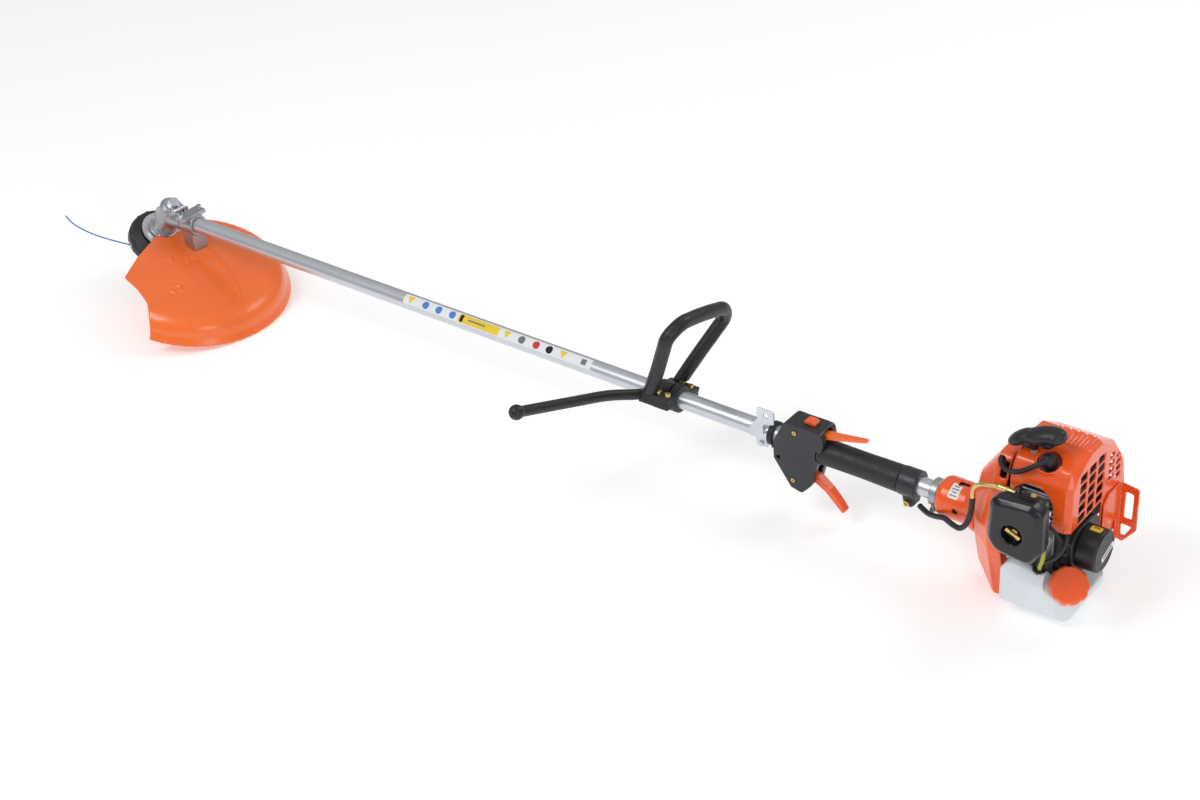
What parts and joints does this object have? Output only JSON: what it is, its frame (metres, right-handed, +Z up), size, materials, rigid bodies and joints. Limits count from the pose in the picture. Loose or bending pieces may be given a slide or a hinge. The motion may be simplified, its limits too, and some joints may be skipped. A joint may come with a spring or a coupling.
{
  "type": "string trimmer",
  "caption": "Petrol string trimmer: straight drive tube with a line head and orange guard, loop handle, throttle grip, harness hanger and a rear-mounted two-stroke engine.",
  "frame": {"origin": "bottom centre of the bounding box without the cutting line: on the floor under the middle of the tube", "axes": "+X back along the drive tube towards the engine, +Y to the right of an operator who holds it, +Z up; the machine rests on its guard and its fan cover"},
  "size_m": [1.8734, 0.3775, 0.2706],
  "materials": {
    "tube_silver": "satin",
    "liner_bronze": "matte",
    "steel": "satin",
    "cast_grey": "cast, satin",
    "screw_zinc": "zinc plated",
    "screw_yellow": "yellow passivated",
    "zinc_plate": "blue zinc plated",
    "head_black": "moulded",
    "line_blue": "nylon",
    "orange_plastic": "glossy moulded",
    "orange_lever": "glossy moulded",
    "black_plastic": "fine grained",
    "black_rubber": "matte",
    "cable_gold": "yellow passivated",
    "coil_grey": "epoxy",
    "plug_white": "glazed",
    "muffler_dark": "heat resistant matt paint",
    "carb_silver": "die cast",
    "foam_grey": "open-cell foam",
    "brass_knob": "cast",
    "tank_milky": "translucent, milky",
    "fuel_line_black": "matte",
    "pulley_white": "moulded"
  },
  "bodies": {
    "frame": {"drive_tube": "tube_silver", "shaft_liners": "liner_bronze", "gear_case": "cast_grey", "head_screws": "screw_zinc", "grease_plug": "screw_zinc", "guard_bracket": "cast_grey", "guard": "orange_plastic", "line_knife": "steel", "handle_clamp": "black_plastic", "handle_screws": "screw_yellow", "loop_handle": "black_plastic", "barrier_bar": "black_plastic", "hanger_bracket": "zinc_plate", "hanger_screw": "screw_zinc", "tube_stop": "black_rubber", "throttle_case_left": "black_plastic", "throttle_case_right": "black_plastic", "rear_grip": "black_rubber", "grip_clamp": "black_plastic", "throttle_cable": "black_rubber", "cable_end": "cable_gold", "tube_clamp": "cast_grey", "clutch_housing": "orange_plastic", "fan_cover": "orange_plastic", "crankcase": "cast_grey", "engine_cylinder": "cast_grey", "spark_plug": "plug_white", "ignition_lead": "black_rubber", "ignition_coil": "coil_grey", "cylinder_cover": "orange_plastic", "muffler": "muffler_dark", "muffler_guard": "orange_plastic", "carburetor": "carb_silver", "filter_case": "black_plastic", "air_filter": "foam_grey", "filter_cover": "black_plastic", "fuel_tank": "tank_milky", "fuel_lines": "fuel_line_black", "starter_base": "black_plastic", "starter_drum": "black_plastic"},
    "crank": {"clutch_shoes": "steel", "flywheel": "cast_grey", "crankshaft": "steel"},
    "shaft": {"drive_shaft": "steel", "clutch_drum": "steel"},
    "head": {"output_shaft": "steel", "trimmer_head": "head_black", "line_eyelets": "zinc_plate", "cutting_line": "line_blue"},
    "knob": {"bump_knob": "head_black"},
    "trigger": {"throttle_trigger": "orange_plastic"},
    "lockout": {"trigger_lockout": "orange_lever"},
    "switch": {"stop_switch": "orange_plastic"},
    "carb_arm": {"throttle_arm": "steel"},
    "choke": {"choke_lever": "orange_plastic"},
    "wing_knob": {"cover_knob": "brass_knob"},
    "cap": {"fuel_cap": "orange_plastic"},
    "pull_grip": {"starter_grip": "black_plastic"},
    "pulley": {"rope_pulley": "pulley_white"},
    "piston_body": {"piston": "steel"}
  },
  "joints": [
    {"name": "crank_spin", "type": "hinge", "parent": "frame", "child": "crank", "pos_m": [0.80903, 0.0612, 0.10527], "axis": [0.9997, 0, -0.0227], "continuous": true},
    {"name": "drive_shaft_spin", "type": "hinge", "parent": "frame", "child": "shaft", "pos_m": [0.00923, 0.0612, 0.12342], "axis": [0.9997, 0, -0.0227], "continuous": true},
    {"name": "head_spin", "type": "hinge", "parent": "frame", "child": "head", "pos_m": [-0.82255, 0.0612, 0.14229], "axis": [0.592, 0, 0.8059], "continuous": true},
    {"name": "knob_bump", "type": "slide", "parent": "head", "child": "knob", "axis": [0.592, 0, 0.8059], "range_m": [0, 0.006], "stiffness_N_per_m": 900},
    {"name": "trigger_squeeze", "type": "hinge", "parent": "frame", "child": "trigger", "pos_m": [0.46612, 0.0612, 0.06904], "axis": [0, -1, 0], "range_deg": [0, 14], "stiffness_Nm_per_rad": 0.9},
    {"name": "lockout_press", "type": "hinge", "parent": "frame", "child": "lockout", "pos_m": [0.49161, 0.0612, 0.13448], "axis": [0, 1, 0], "range_deg": [0, 4], "stiffness_Nm_per_rad": 0.8},
    {"name": "stop_switch_slide", "type": "slide", "parent": "frame", "child": "switch", "axis": [-0.9997, 0, 0.0227], "range_m": [0, 0.006]},
    {"name": "throttle_arm_turn", "type": "hinge", "parent": "frame", "child": "carb_arm", "pos_m": [0.83049, -0.0011, 0.1698], "axis": [0.0227, 0, 0.9997], "range_deg": [0, 70], "stiffness_Nm_per_rad": 0.02},
    {"name": "choke_turn", "type": "hinge", "parent": "frame", "child": "choke", "pos_m": [0.8534, -0.0051, 0.16528], "axis": [0.9997, 0, -0.0227], "range_deg": [0, 25]},
    {"name": "cover_knob_turn", "type": "hinge", "parent": "frame", "child": "wing_knob", "pos_m": [0.83236, -0.0338, 0.16375], "axis": [0, -1, 0], "continuous": true},
    {"name": "cap_turn", "type": "hinge", "parent": "frame", "child": "cap", "pos_m": [0.88419, 0.0152, 0.06755], "axis": [0.3387, -0.5567, 0.7586], "continuous": true},
    {"name": "starter_pull", "type": "slide", "parent": "frame", "child": "pull_grip", "axis": [0.0227, 0, 0.9997], "range_m": [0, 0.45], "stiffness_N_per_m": 14},
    {"name": "pulley_spin", "type": "hinge", "parent": "frame", "child": "pulley", "pos_m": [0.78603, 0.0612, 0.10579], "axis": [0.9997, 0, -0.0227], "range_deg": [-955, 0]},
    {"name": "piston_stroke", "type": "slide", "parent": "frame", "child": "piston_body", "axis": [0.0227, 0, 0.9997], "range_m": [0, 0.026]}
  ],
  "couplings": [
    {"joint": "head_spin", "follows": "drive_shaft_spin", "ratio": -0.73684},
    {"joint": "throttle_arm_turn", "follows": "trigger_squeeze", "ratio": 5},
    {"joint": "pulley_spin", "follows": "starter_pull", "rad_per_m": -37.037}
  ]
}
